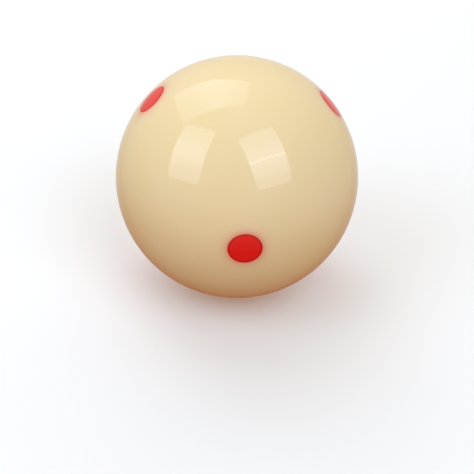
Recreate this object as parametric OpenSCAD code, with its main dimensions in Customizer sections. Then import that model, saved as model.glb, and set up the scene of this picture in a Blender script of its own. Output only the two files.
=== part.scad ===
// Six-dot cue ball: a solid cast-resin ball with six coloured dots.
// Each dot is a plug of coloured resin that fills its own blind socket and was
// ground and polished together with the ball, so its outer face is part of the sphere.
// Origin at the ball's centre, +Z up, front dot on -Y.

/* [Ball] */
// Diameter of the ball
ball_d = 57.15; // [48:0.05:62]

/* [Dots] */
// Diameter of each dot
dot_d = 7.4; // [4:0.1:14]
// Depth of each dot, from the ball's surface to its flat inner end
dot_depth = 6; // [3:0.5:14]
// Chamfer round the inner end of each dot, left by the socket's cutter
dot_chamfer = 0.4; // [0.1:0.1:1]

/* [Colours] */
// Colour of the ball
ball_colour = "#EADBB4";
// Colour of the dots
dot_colour = "#CC1F1E";

/* [Hidden] */

$fn = 180;
ball_r = ball_d / 2;
dot_r = dot_d / 2;
// Distance from the ball's centre to a dot's inner end
dot_inner = ball_r - dot_depth;
// How far a socket cutter runs out past the ball's surface
overrun = 1;
// Turn about Z that keeps the sphere's seam clear of every dot
seam_turn = 45;

// Each dot's axis, outward. The three axes are perpendicular, with a dot at both
// ends of each. The upper and lower dots lean 45 degrees between X and Z.
FRONT = [0, -1, 0];
UPPER_RIGHT = [1, 0, 1];
UPPER_LEFT = [-1, 0, 1];
DOT_AXES = [FRONT, -FRONT, UPPER_RIGHT, UPPER_LEFT, -UPPER_LEFT, -UPPER_RIGHT];

// Turns what stands on +Z to stand along an axis instead
module along(axis) {
    rotate([0, acos(axis.z / norm(axis)), atan2(axis.y, axis.x)])
        children();
}

module full_ball() {
    rotate([0, 0, seam_turn])
        sphere(r = ball_r);
}

// The space that a flat-ended cutter leaves for one dot, drilled in along the axis
module socket(axis) {
    along(axis)
        rotate_extrude()
            polygon([
                [0, dot_inner],
                [dot_r - dot_chamfer, dot_inner],
                [dot_r, dot_inner + dot_chamfer],
                [dot_r, ball_r + overrun],
                [0, ball_r + overrun]
            ]);
}

// The resin that fills one socket, domed with the ball's own radius at its outer end
module dot(axis) {
    color(dot_colour)
        intersection() {
            full_ball();
            socket(axis);
        }
}

module ball_body() {
    color(ball_colour)
        difference() {
            full_ball();
            for (axis = DOT_AXES)
                socket(axis);
        }
}

module front_dot() {
    dot(FRONT);
}

module back_dot() {
    dot(-FRONT);
}

module upper_right_dot() {
    dot(UPPER_RIGHT);
}

module upper_left_dot() {
    dot(UPPER_LEFT);
}

module lower_right_dot() {
    dot(-UPPER_LEFT);
}

module lower_left_dot() {
    dot(-UPPER_RIGHT);
}

ball_body();
front_dot();
back_dot();
upper_right_dot();
upper_left_dot();
lower_right_dot();
lower_left_dot();
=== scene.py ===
import math

import bmesh
import bpy
from mathutils import Matrix, Vector


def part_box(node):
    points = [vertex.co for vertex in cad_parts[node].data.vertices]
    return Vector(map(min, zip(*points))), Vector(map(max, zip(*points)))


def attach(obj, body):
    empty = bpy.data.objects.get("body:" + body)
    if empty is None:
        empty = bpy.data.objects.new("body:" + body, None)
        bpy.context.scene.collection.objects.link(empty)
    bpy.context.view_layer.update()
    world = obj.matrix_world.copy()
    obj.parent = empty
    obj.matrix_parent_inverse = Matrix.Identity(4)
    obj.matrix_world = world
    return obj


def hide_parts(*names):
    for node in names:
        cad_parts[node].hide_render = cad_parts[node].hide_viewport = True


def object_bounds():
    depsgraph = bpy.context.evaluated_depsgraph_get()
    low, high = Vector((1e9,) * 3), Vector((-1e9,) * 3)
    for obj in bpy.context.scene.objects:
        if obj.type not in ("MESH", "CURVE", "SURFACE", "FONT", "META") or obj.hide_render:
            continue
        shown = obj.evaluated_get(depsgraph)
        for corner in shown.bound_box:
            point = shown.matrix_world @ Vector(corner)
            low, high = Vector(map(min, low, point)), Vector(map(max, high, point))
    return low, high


# A six-dot cue ball of polished cast resin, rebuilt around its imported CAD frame.
# Metres, origin at the ball's centre, +Z up, front dot on -Y.

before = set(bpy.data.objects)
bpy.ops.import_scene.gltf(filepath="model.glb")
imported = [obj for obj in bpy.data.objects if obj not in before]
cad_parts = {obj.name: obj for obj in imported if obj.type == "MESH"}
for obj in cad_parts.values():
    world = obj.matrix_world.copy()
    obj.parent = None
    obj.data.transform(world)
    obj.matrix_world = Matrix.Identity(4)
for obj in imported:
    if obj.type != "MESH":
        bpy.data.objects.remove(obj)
cad_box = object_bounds()

MM = 0.001

# ---- Sizes that the frame sets ----

dot_low, dot_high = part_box("front_dot")
BALL_R = cad_box[1].z
DOT_R = (dot_high.x - dot_low.x) / 2
# Distance from the ball's centre to a dot's flat inner end
DOT_INNER = -dot_high.y

# Outward axis of each dot. The upper and lower dots lean 45 degrees between X and Z.
DOTS = {
    "front_dot": Vector((0, -1, 0)),
    "back_dot": Vector((0, 1, 0)),
    "upper_right_dot": Vector((1, 0, 1)).normalized(),
    "upper_left_dot": Vector((-1, 0, 1)).normalized(),
    "lower_right_dot": Vector((1, 0, -1)).normalized(),
    "lower_left_dot": Vector((-1, 0, -1)).normalized(),
}

# ---- Fine shape ----

# Chamfer round a dot's inner end, as in the CAD
CHAMFER = 0.4 * MM
# Tiny round where grinding and polishing broke the edge between ball and dot
RIM_ROUND = 0.03 * MM
# Film of cement between a dot and its socket
BOND_LINE = 0.01 * MM

# Faces round a dot's axis, four sides of a square grid of CELLS by CELLS
CELLS = 52
SIDES = 4 * CELLS
AZIMUTHS = [math.tau * k / SIDES for k in range(SIDES)]
SPHERE_STEPS = 50
ROUND_STEPS = 4
WALL_STEPS = 6
SHARP_ANGLE = math.radians(30)


def axis_frame(axis):
    """Matrix that turns +Z to a dot's axis and +X to the axis of a neighbouring dot."""
    across = next(other for other in DOTS.values() if abs(other.dot(axis)) < 0.5)
    return Matrix((across, axis.cross(across), axis)).transposed()


def circle(r, height):
    """A ring of (radius, height) pairs about a dot's axis, one for each azimuth."""
    return [(r, height)] * SIDES


def sphere_rings(rim_polar):
    """Rings on the ball from the edge of a dot's sixth of it, a cube face blown up
    to the sphere, inwards to just short of the polar angle of the rim."""
    rings = []
    for step in range(SPHERE_STEPS, 0, -1):
        ring = []
        for azimuth in AZIMUTHS:
            edge = math.atan(1 / max(abs(math.cos(azimuth)), abs(math.sin(azimuth))))
            polar = rim_polar + (edge - rim_polar) * step / SPHERE_STEPS
            ring.append((BALL_R * math.sin(polar), BALL_R * math.cos(polar)))
        rings.append(ring)
    return rings


def rim_polar_angle(wall_r, side):
    """Polar angle at which the ball's surface meets the rim round. side is 1 for the
    socket's edge, outside the wall, and -1 for the dot's own edge, inside it."""
    return math.asin((wall_r + side * RIM_ROUND) / (BALL_R - RIM_ROUND))


def rim_rings(wall_r, side):
    """Rings of the small round from the ball's surface into a wall round the axis."""
    centre_r = wall_r + side * RIM_ROUND
    start = rim_polar_angle(wall_r, side)
    centre_height = (BALL_R - RIM_ROUND) * math.cos(start)
    rings = []
    for step in range(ROUND_STEPS + 1):
        turn = start + (-side * math.pi / 2 - start) * step / ROUND_STEPS
        r = centre_r + RIM_ROUND * math.sin(turn)
        rings.append(circle(r, centre_height + RIM_ROUND * math.cos(turn)))
    return rings


def wall_rings(wall_r, top, bottom):
    """Rings down the straight wall from just under top, and round the chamfer."""
    chamfer_top = bottom + CHAMFER
    rings = []
    for step in range(1, WALL_STEPS + 1):
        rings.append(circle(wall_r, top + (chamfer_top - top) * step / WALL_STEPS))
    rings.append(circle(wall_r - CHAMFER, bottom))
    return rings


def loft(bm, basis, rings):
    """Joins neighbouring rings with quads."""
    rows = []
    for ring in rings:
        row = []
        for azimuth, (r, height) in zip(AZIMUTHS, ring):
            point = Vector((r * math.cos(azimuth), r * math.sin(azimuth), height))
            row.append(bm.verts.new(basis @ point))
        rows.append(row)
    for outer, inner in zip(rows, rows[1:]):
        for k in range(SIDES):
            bm.faces.new((outer[k - 1], inner[k - 1], inner[k], outer[k]))


def disc_place(x, y):
    """Radius, which may be negative, and azimuth in the unit disc of a point in the
    square from -1 to 1. Square rings become circles, so no faces crowd at the middle."""
    if abs(x) > abs(y):
        return x, math.pi / 4 * y / x
    if y:
        return y, math.pi / 2 - math.pi / 4 * x / y
    return 0.0, 0.0


def disc(bm, basis, profile):
    """A grid bent into a disc. profile gives radius and height at a share of the way out."""
    rows = []
    for i in range(CELLS + 1):
        row = []
        for j in range(CELLS + 1):
            share, azimuth = disc_place(2 * i / CELLS - 1, 2 * j / CELLS - 1)
            r, height = profile(share)
            point = Vector((r * math.cos(azimuth), r * math.sin(azimuth), height))
            row.append(bm.verts.new(basis @ point))
        rows.append(row)
    for i in range(CELLS):
        for j in range(CELLS):
            bm.faces.new((rows[i][j], rows[i + 1][j], rows[i + 1][j + 1], rows[i][j + 1]))


def flat_end(r, height):
    return lambda share: (share * r, height)


def dome(polar):
    return lambda share: (BALL_R * math.sin(share * polar), BALL_R * math.cos(share * polar))


def finish_mesh(bm, name):
    """Welds the parts of a closed mesh and makes it a smooth-shaded object."""
    bmesh.ops.remove_doubles(bm, verts=bm.verts, dist=BOND_LINE / 10)
    bmesh.ops.recalc_face_normals(bm, faces=bm.faces)
    mesh = bpy.data.meshes.new(name)
    bm.to_mesh(mesh)
    bm.free()
    mesh.shade_smooth()
    mesh.set_sharp_from_angle(angle=SHARP_ANGLE)
    piece = bpy.data.objects.new(name, mesh)
    bpy.context.scene.collection.objects.link(piece)
    return piece


def make_ball():
    """The resin ball, with a blind socket under each dot."""
    bm = bmesh.new()
    for axis in DOTS.values():
        basis = axis_frame(axis)
        rings = sphere_rings(rim_polar_angle(DOT_R, 1))
        rings += rim_rings(DOT_R, 1)
        rings += wall_rings(DOT_R, rings[-1][0][1], DOT_INNER)
        loft(bm, basis, rings)
        disc(bm, basis, flat_end(DOT_R - CHAMFER, DOT_INNER))
    return finish_mesh(bm, "ball")


def make_dot(name, axis):
    """One dot: a plug with a domed outer face, flush with the ball."""
    bm = bmesh.new()
    basis = axis_frame(axis)
    wall_r = DOT_R - BOND_LINE
    bottom = DOT_INNER + BOND_LINE
    rings = rim_rings(wall_r, -1)
    rings += wall_rings(wall_r, rings[-1][0][1], bottom)
    disc(bm, basis, dome(rim_polar_angle(wall_r, -1)))
    loft(bm, basis, rings)
    disc(bm, basis, flat_end(wall_r - CHAMFER, bottom))
    return finish_mesh(bm, name)


# ---- Materials ----

IVORY = (0.865, 0.69, 0.385, 1)
IVORY_PALE = (0.875, 0.70, 0.41, 1)
CLOUD_SIZE = 18 * MM
RED = (0.85, 0.008, 0.009, 1)
# A darker line runs round just inside each dot's edge
RED_LINE = (0.46, 0.004, 0.005, 1)
RED_LINE_INSET = 0.18 * MM
RED_LINE_WIDTH = 0.16 * MM
RESIN_IOR = 1.54

# How much of each colour of light, red, green and blue, the wall of a dot takes from the
# resin right beside it, and how far into the resin that reaches
DOT_SHADE = (0.02, 0.60, 0.57)
DOT_SHADE_REACH = (1.1 * MM, 0.8 * MM, 0.6 * MM)

# The cement line round each dot: a little sunk, and duller than the polish
SEAM_WIDTH = 0.12 * MM
SEAM_DEPTH = 0.012 * MM
SEAM_ROUGHNESS = 0.15

# Roughness of the polish at its best and where handling has left it hazy
POLISHED = 0.025
HAZY = 0.055
IVORY_HAZE_SIZE = 6 * MM
RED_HAZE_SIZE = 3 * MM

# Noise between these is spread over the whole way from one look to the other
NOISE_LOW = 0.35
NOISE_HIGH = 0.65

# Hairline scuffs from play: broken bits of a net of lines round cells of this size
SCUFF_CELL = 5 * MM
# How far its lines wander, and over what length
SCUFF_WANDER = 2 * MM
SCUFF_WANDER_SIZE = 9 * MM
# How far a line reaches to each side, as a share of a cell
SCUFF_WIDTH = 0.014
# Length of the bits that are kept, and the noise at which they start and are whole
SCUFF_BIT_SIZE = 5 * MM
SCUFF_BIT_START = 0.52
SCUFF_BIT_WHOLE = 0.62
SCUFF_DEPTH = 0.0025 * MM
SCUFF_ROUGHNESS = 0.10

# One dot on each of the three lines on which the dots lie in pairs
DOT_LINES = ("front_dot", "upper_right_dot", "upper_left_dot")


class Nodes:
    """Short calls that add a node to the tree of a material, lamp or world and return
    the output that is wanted."""

    def __init__(self, owner):
        owner.use_nodes = True
        self.tree = owner.node_tree

    def feed(self, socket, value):
        if isinstance(value, bpy.types.NodeSocket):
            self.tree.links.new(value, socket)
        else:
            socket.default_value = value

    def place(self):
        """Position in the ball's frame, in metres."""
        return self.tree.nodes.new("ShaderNodeTexCoord").outputs["Object"]

    def way(self):
        """Direction in which the world is seen, as a unit vector."""
        return self.tree.nodes.new("ShaderNodeTexCoord").outputs["Generated"]

    def part(self, vector, axis):
        """The X, Y or Z of a vector."""
        node = self.tree.nodes.new("ShaderNodeSeparateXYZ")
        self.feed(node.inputs[0], vector)
        return node.outputs[axis]

    def maths(self, operation, *values):
        node = self.tree.nodes.new("ShaderNodeMath")
        node.operation = operation
        for socket, value in zip(node.inputs, values):
            self.feed(socket, value)
        return node.outputs[0]

    def add_up(self, start, *terms):
        """start plus the product of each pair of a value and its weight."""
        total = start
        for value, weight in terms:
            total = self.maths("MULTIPLY_ADD", value, weight, total)
        return total

    def vector(self, operation, *values):
        node = self.tree.nodes.new("ShaderNodeVectorMath")
        node.operation = operation
        sockets = [socket for socket in node.inputs if socket.enabled]
        for socket, value in zip(sockets, values):
            self.feed(socket, value)
        return node.outputs["Value" if operation in ("LENGTH", "DOT_PRODUCT") else "Vector"]

    def noise(self, place, size, detail=2.0, distortion=0.0, output="Fac"):
        """Noise from 0 to 1 whose features are about size metres wide."""
        node = self.tree.nodes.new("ShaderNodeTexNoise")
        self.feed(node.inputs["Vector"], place)
        node.inputs["Scale"].default_value = 1 / size
        node.inputs["Detail"].default_value = detail
        node.inputs["Distortion"].default_value = distortion
        return node.outputs[output]

    def spread(self, value, low, high, to_low=0, to_high=1):
        """Maps low..high onto to_low..to_high, held at both ends."""
        node = self.tree.nodes.new("ShaderNodeMapRange")
        for socket, number in zip(node.inputs, (value, low, high, to_low, to_high)):
            self.feed(socket, number)
        return node.outputs["Result"]

    def bell(self, distance, width):
        """1 at distance 0, falling off on both sides in a bell curve of the given width."""
        share = self.maths("DIVIDE", distance, width)
        squared = self.maths("MULTIPLY", share, share)
        return self.maths("EXPONENT", self.maths("MULTIPLY", squared, -1))

    def fading(self, distance, reach):
        """1 at distance 0, fading out exponentially with the given reach."""
        return self.maths("EXPONENT", self.maths("DIVIDE", distance, -reach))

    def sunk(self, depth):
        """Normal of a surface that is sunk by a depth in metres."""
        node = self.tree.nodes.new("ShaderNodeBump")
        node.invert = True
        node.inputs["Strength"].default_value = 1
        node.inputs["Distance"].default_value = 1
        self.feed(node.inputs["Height"], depth)
        return node.outputs["Normal"]

    def mix(self, share, a, b, blend="MIX"):
        """Mix of the colours a and b, with share of b."""
        node = self.tree.nodes.new("ShaderNodeMix")
        node.data_type = "RGBA"
        node.blend_type = blend
        sockets = [socket for socket in node.inputs if socket.enabled]
        for socket, value in zip(sockets, (share, a, b)):
            self.feed(socket, value)
        return next(output for output in node.outputs if output.enabled)


def grey(value):
    return (value, value, value, 1)


def new_material(name):
    """A material, calls for its nodes, and the inputs of its surface."""
    material = bpy.data.materials.new(name)
    nodes = Nodes(material)
    return material, nodes, nodes.tree.nodes["Principled BSDF"].inputs


def from_dot_axes(nodes, place):
    """Distance to the nearest of the three lines on which the dots lie in pairs."""
    nearest = None
    for name in DOT_LINES:
        across = nodes.vector("CROSS_PRODUCT", place, DOTS[name])
        distance = nodes.vector("LENGTH", across)
        nearest = distance if nearest is None else nodes.maths("MINIMUM", nearest, distance)
    return nearest


def left_beside_dots(nodes, distance):
    """Colour that the red dots leave of the light in the ivory resin, white far from them."""
    beside = nodes.maths("MAXIMUM", nodes.maths("SUBTRACT", distance, DOT_R), 0)
    node = nodes.tree.nodes.new("ShaderNodeCombineColor")
    for socket, shade, reach in zip(node.inputs, DOT_SHADE, DOT_SHADE_REACH):
        taken = nodes.maths("MULTIPLY", nodes.fading(beside, reach), shade)
        nodes.feed(socket, nodes.maths("SUBTRACT", 1, taken))
    return node.outputs["Color"]


def ivory_colour(nodes, place, distance):
    clouds = nodes.noise(place, CLOUD_SIZE, detail=3.0, distortion=0.6)
    colour = nodes.mix(nodes.spread(clouds, NOISE_LOW, NOISE_HIGH), IVORY, IVORY_PALE)
    return nodes.mix(1, colour, left_beside_dots(nodes, distance), "MULTIPLY")


def red_colour(nodes, place, distance):
    from_line = nodes.maths("SUBTRACT", distance, DOT_R - RED_LINE_INSET)
    return nodes.mix(nodes.bell(from_line, RED_LINE_WIDTH), RED, RED_LINE)


def scuffs(nodes, place):
    """1 on the hairline scuffs and 0 between them."""
    wander = nodes.noise(place, SCUFF_WANDER_SIZE, output="Color")
    wander = nodes.vector("SCALE", wander, SCUFF_WANDER)
    net = nodes.tree.nodes.new("ShaderNodeTexVoronoi")
    net.feature = "DISTANCE_TO_EDGE"
    net.inputs["Scale"].default_value = 1 / SCUFF_CELL
    nodes.feed(net.inputs["Vector"], nodes.vector("ADD", place, wander))
    line = nodes.bell(net.outputs["Distance"], SCUFF_WIDTH)
    bits = nodes.noise(place, SCUFF_BIT_SIZE)
    kept = nodes.spread(bits, SCUFF_BIT_START, SCUFF_BIT_WHOLE)
    return nodes.maths("MULTIPLY", line, kept)


def polished_resin(name, haze_size, paint):
    """Polished cast resin with a seam round each dot. paint gives the colour of the resin
    from the nodes, the position and the distance to the nearest dot's axis."""
    material, nodes, surface = new_material(name)
    place = nodes.place()
    distance = from_dot_axes(nodes, place)
    nodes.feed(surface["Base Color"], paint(nodes, place, distance))
    seam = nodes.bell(nodes.maths("SUBTRACT", distance, DOT_R), SEAM_WIDTH)
    scuffed = scuffs(nodes, place)
    haze = nodes.noise(place, haze_size, detail=4.0)
    polish = nodes.spread(haze, NOISE_LOW, NOISE_HIGH, POLISHED, HAZY)
    dulled = nodes.add_up(polish, (seam, SEAM_ROUGHNESS), (scuffed, SCUFF_ROUGHNESS))
    nodes.feed(surface["Roughness"], dulled)
    depth = nodes.add_up(0, (seam, SEAM_DEPTH), (scuffed, SCUFF_DEPTH))
    nodes.feed(surface["Normal"], nodes.sunk(depth))
    surface["IOR"].default_value = RESIN_IOR
    return material


# ---- Studio ----

FLOOR_WIDTH = 60.0
FLOOR_GREY = 0.9
FLOOR_ROUGHNESS = 0.8

SOFTBOX_SIZE = (0.485, 0.70)
# The softboxes are a little cooler than the light of the room
SOFTBOX_COLOUR = (0.81, 0.93, 1.10)
# Brightness at the ends of a softbox, as a share of its middle
CLOTH_EDGE = 0.5
# How far the glow of the tube and its bare line reach from the middle, as shares of the
# softbox's length
CLOTH_GLOW_WIDTH = 0.27
TUBE_LINE_WIDTH = 0.010

# A lamp over the floor behind the ball
WASH_SIZE = (1.4, 0.5)
WASH_PLACE = (0, 0.75, 0.55)
WASH_RADIANCE = 1.8

# The room round the ball: its colour, its light overhead, what is added towards the horizon
# and how quickly that falls off with height, and the light just below the horizon
ROOM_COLOUR = (1.18, 1.07, 0.92, 1)
ROOM_LIGHT = 0.43
HORIZON_LIGHT = 0.15
HORIZON_FALLOFF = 3.0
BACKDROP_LIGHT = 0.475

# Warm light from underneath, as from a hand that holds the ball up, and the sines of the
# angles below the horizon between which it takes over
BELOW_LIGHT = (0.31, 0.095, 0.04, 1)
BELOW_START = 0.25
BELOW_FULL = 0.65

# White card behind the ball as the camera sees it, which the ball's limb mirrors: how much
# of it shows, and the degrees from its middle at which it starts to fade and ends
CARD_COLOUR = (1, 1, 1, 1)
CARD_SHARE = 0.55
CARD_FADE = 15
CARD_END = 40
# Sines of the angles below the horizon between which the card ends
CARD_LOW_START = 0.45
CARD_LOW_END = 0.80

# The photographed view: from a little left of the front dot and well above it. Angles are
# in degrees.
CAMERA_AZIMUTH = -5.33
CAMERA_ELEVATION = 31.31
CAMERA_DISTANCE = 6.695 * BALL_R
CAMERA_ROLL = 3.66
# The camera looks a little below the ball, which so sits high in the frame
CAMERA_DIP = 4.22
# In millimetres
LENS = 60.79
SENSOR_WIDTH = 36


def outward(azimuth, elevation):
    """Unit vector at an azimuth, 0 towards -Y and 90 towards +X, and elevation in degrees."""
    a = math.radians(azimuth)
    e = math.radians(elevation)
    return Vector((math.sin(a) * math.cos(e), -math.cos(a) * math.cos(e), math.sin(e)))


def turned(degrees, axis):
    return Matrix.Rotation(math.radians(degrees), 3, axis)


def aimed(azimuth, elevation, turn):
    """Rotation of a lamp or camera that looks at the origin from that direction."""
    return turned(azimuth, "Z") @ turned(90 - elevation, "X") @ turned(turn, "Z")


def softbox_cloth(lamp, tube_line):
    """The cloth glows most across its middle, where the tube is, and fades to the ends.
    tube_line is how much of the bare tube shows through."""
    nodes = Nodes(lamp)
    face = nodes.tree.nodes.new("ShaderNodeNewGeometry").outputs["Parametric"]
    off_middle = nodes.maths("SUBTRACT", nodes.part(face, "Y"), 0.5)
    glow = nodes.bell(off_middle, CLOTH_GLOW_WIDTH)
    line = nodes.bell(off_middle, TUBE_LINE_WIDTH)
    strength = nodes.add_up(CLOTH_EDGE, (glow, 1 - CLOTH_EDGE), (line, tube_line))
    nodes.feed(nodes.tree.nodes["Emission"].inputs["Strength"], strength)


def area_lamp(name, size, radiance):
    """A rectangular lamp whose whole face has the given radiance, not yet in place."""
    lamp = bpy.data.lights.new(name, "AREA")
    lamp.shape = "RECTANGLE"
    lamp.size, lamp.size_y = size
    lamp.energy = radiance * math.pi * size[0] * size[1]
    holder = bpy.data.objects.new(name, lamp)
    bpy.context.scene.collection.objects.link(holder)
    return holder


def softbox(name, azimuth, elevation, distance, turn, tip, swing, radiance, tube_line=0.0):
    """A softbox seen from the ball at an azimuth and elevation. turn spins it about the
    line to the ball; tip and swing are how far it points past the ball."""
    box = area_lamp(name, SOFTBOX_SIZE, radiance)
    box.data.color = SOFTBOX_COLOUR
    softbox_cloth(box.data, tube_line)
    rotation = aimed(azimuth, elevation, turn) @ turned(tip, "X") @ turned(swing, "Y")
    box.matrix_world = rotation.to_4x4()
    box.location = outward(azimuth, elevation) * distance


def make_lights():
    softbox(
        "left_softbox", azimuth=-66.7, elevation=37.4, distance=0.83,
        turn=22.3, tip=6.9, swing=15.7, radiance=2.95,
    )
    softbox(
        "right_softbox", azimuth=32.8, elevation=45.3, distance=0.775,
        turn=-0.9, tip=-0.1, swing=-5.4, radiance=2.9, tube_line=1.2,
    )
    softbox(
        "top_softbox", azimuth=-149.9, elevation=59.3, distance=0.755,
        turn=51.6, tip=19.0, swing=6.5, radiance=1.5,
    )
    # The wash makes the background nearly white, and the ball doesn't mirror it
    wash = area_lamp("background_wash", WASH_SIZE, WASH_RADIANCE)
    wash.location = WASH_PLACE
    wash.visible_glossy = False


def room(nodes, height):
    """Light of the room by the height of the direction, from -1 straight down to 1."""
    lowness = nodes.maths("POWER", nodes.maths("SUBTRACT", 1, height), HORIZON_FALLOFF)
    above = nodes.add_up(ROOM_LIGHT, (lowness, HORIZON_LIGHT))
    underneath = nodes.spread(height, -BELOW_START, -BELOW_FULL)
    below = nodes.mix(underneath, grey(BACKDROP_LIGHT), BELOW_LIGHT)
    light = nodes.mix(nodes.maths("GREATER_THAN", height, 0), below, above)
    return nodes.mix(1, light, ROOM_COLOUR, "MULTIPLY")


def card_share(nodes, way, height):
    """How much of the white card shows in a direction."""
    towards = nodes.vector("DOT_PRODUCT", way, -outward(CAMERA_AZIMUTH, CAMERA_ELEVATION))
    end = math.cos(math.radians(CARD_END))
    fade = math.cos(math.radians(CARD_FADE))
    card = nodes.spread(towards, end, fade, 0, CARD_SHARE)
    return nodes.maths("MULTIPLY", card, nodes.spread(height, -CARD_LOW_END, -CARD_LOW_START))


def make_world():
    world = bpy.data.worlds.new("studio")
    nodes = Nodes(world)
    way = nodes.way()
    height = nodes.part(way, "Z")
    colour = nodes.mix(card_share(nodes, way, height), room(nodes, height), CARD_COLOUR)
    background = nodes.tree.nodes["Background"].inputs
    nodes.feed(background["Color"], colour)
    background["Strength"].default_value = 1
    bpy.context.scene.world = world


def make_floor():
    material, _, surface = new_material("floor")
    surface["Base Color"].default_value = grey(FLOOR_GREY)
    surface["Roughness"].default_value = FLOOR_ROUGHNESS
    half = FLOOR_WIDTH / 2
    corners = [(-half, -half), (half, -half), (half, half), (-half, half)]
    mesh = bpy.data.meshes.new("floor")
    mesh.from_pydata([(x, y, -BALL_R) for x, y in corners], [], [(0, 1, 2, 3)])
    mesh.materials.append(material)
    floor = bpy.data.objects.new("floor", mesh)
    # The ball was photographed high above its background, so none of the floor's light
    # reaches it; the world's lower half stands in for what lay below
    floor.visible_diffuse = False
    floor.visible_glossy = False
    floor.visible_shadow = False
    bpy.context.scene.collection.objects.link(floor)


def make_camera():
    data = bpy.data.cameras.new("camera")
    data.sensor_width = SENSOR_WIDTH
    data.lens = LENS
    data.clip_start = 0.01
    camera = bpy.data.objects.new("camera", data)
    at_ball = aimed(CAMERA_AZIMUTH, CAMERA_ELEVATION, CAMERA_ROLL)
    camera.matrix_world = (at_ball @ turned(-CAMERA_DIP, "X")).to_4x4()
    camera.location = outward(CAMERA_AZIMUTH, CAMERA_ELEVATION) * CAMERA_DISTANCE
    bpy.context.scene.collection.objects.link(camera)
    bpy.context.scene.camera = camera


def make_object():
    ivory = polished_resin("ivory_resin", IVORY_HAZE_SIZE, ivory_colour)
    red = polished_resin("red_resin", RED_HAZE_SIZE, red_colour)
    ball = make_ball()
    ball.data.materials.append(ivory)
    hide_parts("ball_body")
    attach(ball, "root")
    for node, axis in DOTS.items():
        dot = make_dot(node.replace("_dot", "_plug"), axis)
        dot.data.materials.append(red)
        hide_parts(node)
        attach(dot, "root")


make_camera()
make_world()
make_lights()
make_floor()
make_object()
bpy.context.scene.view_settings.view_transform = "Standard"
